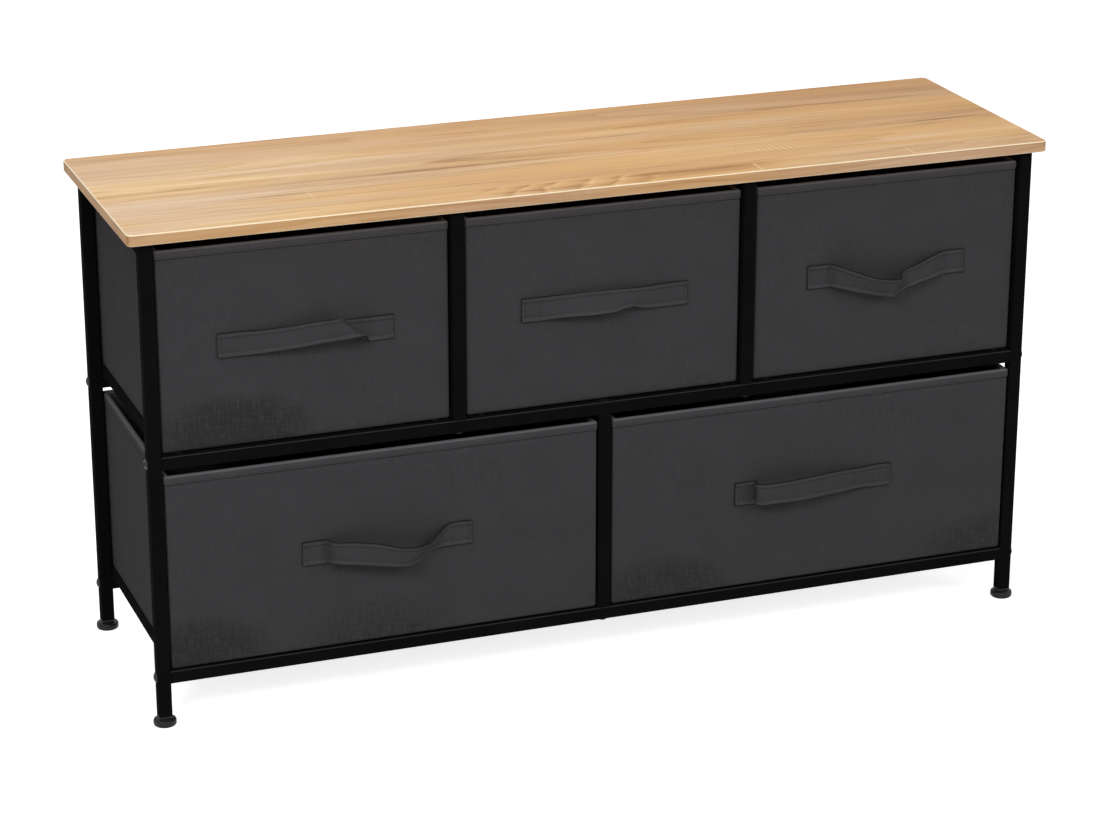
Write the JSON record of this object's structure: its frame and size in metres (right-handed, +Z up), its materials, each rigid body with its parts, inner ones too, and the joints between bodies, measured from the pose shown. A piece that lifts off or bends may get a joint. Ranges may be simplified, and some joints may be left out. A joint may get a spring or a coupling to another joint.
{
  "type": "fabric drawer dresser",
  "caption": "Wide low dresser: a bolted frame of black square tube under a wood-effect top carries sliding fabric drawers with sewn strap handles, in two rows, on levelling feet.",
  "frame": {"origin": "on the floor, in the middle of the footprint with the handles", "axes": "+X along the dresser to the viewer's right, -Y the drawer fronts, +Z up"},
  "size_m": [1, 0.3048, 0.53],
  "materials": {
    "wood_top": "light oak effect, satin",
    "frame_steel": "black powder coat",
    "runner_steel": "black powder coat",
    "foot_plastic": "black, moulded",
    "insert_plastic": "black, moulded",
    "bolt_steel": "black oxide",
    "zinc_steel": "zinc plated",
    "drawer_fabric": "charcoal non-woven, linen print",
    "hem_fabric": "charcoal binding, sewn",
    "strap_fabric": "charcoal strap, folded and sewn",
    "fibre_board": "raw fibreboard"
  },
  "bodies": {
    "frame": {"board_screws": "zinc_steel", "end_nuts": "zinc_steel", "flat_bolts": "bolt_steel", "frame_bolts": "bolt_steel", "leg_back_left": "frame_steel", "leg_back_right": "frame_steel", "leg_front_left": "frame_steel", "leg_front_right": "frame_steel", "leg_inserts": "insert_plastic", "post_back_lower": "frame_steel", "post_back_upper_left": "frame_steel", "post_back_upper_right": "frame_steel", "post_front_lower": "frame_steel", "post_front_upper_left": "frame_steel", "post_front_upper_right": "frame_steel", "rail_back_bottom": "frame_steel", "rail_back_middle": "frame_steel", "rail_front_bottom": "frame_steel", "rail_front_middle": "frame_steel", "rail_side_left": "frame_steel", "rail_side_right": "frame_steel", "runner_screws": "bolt_steel", "runners_lower_left": "runner_steel", "runners_lower_right": "runner_steel", "runners_upper_left": "runner_steel", "runners_upper_middle": "runner_steel", "runners_upper_right": "runner_steel", "top_board": "wood_top", "top_plates": "frame_steel"},
    "drawer_upper_left": {"drawer_upper_left_base_board": "fibre_board", "drawer_upper_left_bin": "drawer_fabric", "drawer_upper_left_handle": "strap_fabric", "drawer_upper_left_hem": "hem_fabric", "drawer_upper_left_wall_boards": "fibre_board"},
    "drawer_upper_middle": {"drawer_upper_middle_base_board": "fibre_board", "drawer_upper_middle_bin": "drawer_fabric", "drawer_upper_middle_handle": "strap_fabric", "drawer_upper_middle_hem": "hem_fabric", "drawer_upper_middle_wall_boards": "fibre_board"},
    "drawer_upper_right": {"drawer_upper_right_base_board": "fibre_board", "drawer_upper_right_bin": "drawer_fabric", "drawer_upper_right_handle": "strap_fabric", "drawer_upper_right_hem": "hem_fabric", "drawer_upper_right_wall_boards": "fibre_board"},
    "drawer_lower_left": {"drawer_lower_left_base_board": "fibre_board", "drawer_lower_left_bin": "drawer_fabric", "drawer_lower_left_handle": "strap_fabric", "drawer_lower_left_hem": "hem_fabric", "drawer_lower_left_wall_boards": "fibre_board"},
    "drawer_lower_right": {"drawer_lower_right_base_board": "fibre_board", "drawer_lower_right_bin": "drawer_fabric", "drawer_lower_right_handle": "strap_fabric", "drawer_lower_right_hem": "hem_fabric", "drawer_lower_right_wall_boards": "fibre_board"},
    "foot_front_left": {"foot_front_left": "foot_plastic"},
    "foot_front_right": {"foot_front_right": "foot_plastic"},
    "foot_back_left": {"foot_back_left": "foot_plastic"},
    "foot_back_right": {"foot_back_right": "foot_plastic"}
  },
  "joints": [
    {"name": "drawer_upper_left_slide", "type": "slide", "parent": "frame", "child": "drawer_upper_left", "axis": [0, -1, 0], "range_m": [0, 0.2]},
    {"name": "drawer_upper_middle_slide", "type": "slide", "parent": "frame", "child": "drawer_upper_middle", "axis": [0, -1, 0], "range_m": [0, 0.2]},
    {"name": "drawer_upper_right_slide", "type": "slide", "parent": "frame", "child": "drawer_upper_right", "axis": [0, -1, 0], "range_m": [0, 0.2]},
    {"name": "drawer_lower_left_slide", "type": "slide", "parent": "frame", "child": "drawer_lower_left", "axis": [0, -1, 0], "range_m": [0, 0.2]},
    {"name": "drawer_lower_right_slide", "type": "slide", "parent": "frame", "child": "drawer_lower_right", "axis": [0, -1, 0], "range_m": [0, 0.2]},
    {"name": "foot_front_left_screw", "type": "slide", "parent": "frame", "child": "foot_front_left", "axis": [0, 0, -1], "range_m": [0, 0.01]},
    {"name": "foot_front_right_screw", "type": "slide", "parent": "frame", "child": "foot_front_right", "axis": [0, 0, -1], "range_m": [0, 0.01]},
    {"name": "foot_back_left_screw", "type": "slide", "parent": "frame", "child": "foot_back_left", "axis": [0, 0, -1], "range_m": [0, 0.01]},
    {"name": "foot_back_right_screw", "type": "slide", "parent": "frame", "child": "foot_back_right", "axis": [0, 0, -1], "range_m": [0, 0.01]}
  ]
}
